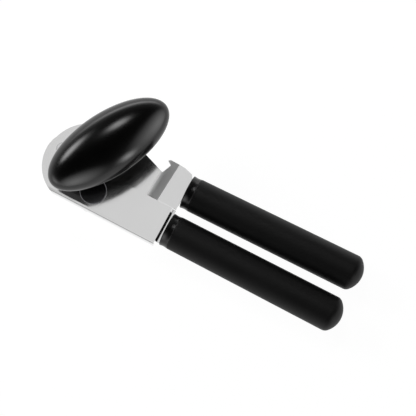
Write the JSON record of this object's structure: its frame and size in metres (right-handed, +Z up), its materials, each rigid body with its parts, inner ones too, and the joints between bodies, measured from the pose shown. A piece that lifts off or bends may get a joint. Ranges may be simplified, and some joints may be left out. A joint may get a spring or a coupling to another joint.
{
  "type": "manual can opener",
  "caption": "Handheld can opener: squeezing the two soft grips pinches a can's rim between a cutting wheel and a toothed feed wheel, which the big oval knob turns.",
  "frame": {"origin": "centre of the cutter axle's flat lower end, on the plane the opener rests on", "axes": "+X from the nose to the handle ends, +Y towards the drive handle, +Z up towards the knob"},
  "size_m": [0.1904, 0.0691, 0.0507],
  "materials": {
    "plate_steel": "satin polished stainless",
    "rivet_steel": "turned, bright",
    "hardened_steel": "ground, hardened",
    "dark_steel": "dark polished",
    "bearing_bronze": "sintered, satin",
    "knob_plastic": "satin gloss black",
    "core_plastic": "gloss black",
    "grip_rubber": "soft matte black"
  },
  "bodies": {
    "cutter_handle": {"top_plate": "plate_steel", "pivot_rivet": "rivet_steel", "pivot_washer": "rivet_steel", "cutter_axle": "dark_steel", "cutter_spacer": "rivet_steel", "cutter_spring_washer": "dark_steel", "cutter_core": "core_plastic", "cutter_grip": "grip_rubber", "cutter_tang_pins": "rivet_steel"},
    "drive_handle": {"lower_plate": "plate_steel", "shaft_bushing": "bearing_bronze", "drive_core": "core_plastic", "drive_grip": "grip_rubber", "drive_tang_pins": "rivet_steel"},
    "cutter": {"cutter_wheel": "hardened_steel", "cutter_bushing": "bearing_bronze"},
    "knob": {"drive_shaft": "rivet_steel", "shaft_washer": "rivet_steel", "feed_wheel": "hardened_steel", "feed_washer": "rivet_steel", "feed_nut": "rivet_steel", "knob_base": "knob_plastic", "knob_washer": "rivet_steel", "knob_screw": "dark_steel", "knob_cap": "knob_plastic"}
  },
  "joints": [
    {"name": "handle_open", "type": "hinge", "parent": "cutter_handle", "child": "drive_handle", "pos_m": [-0.0274, 0.0135, 0.0116], "axis": [0, 0, 1], "range_deg": [0, 45]},
    {"name": "knob_turn", "type": "hinge", "parent": "drive_handle", "child": "knob", "pos_m": [-0.0008, 0.02369, 0.0124], "axis": [0, 0, 1], "continuous": true},
    {"name": "cutter_spin", "type": "hinge", "parent": "cutter_handle", "child": "cutter", "pos_m": [0, 0, 0.0044], "axis": [0, 0, 1], "continuous": true}
  ]
}
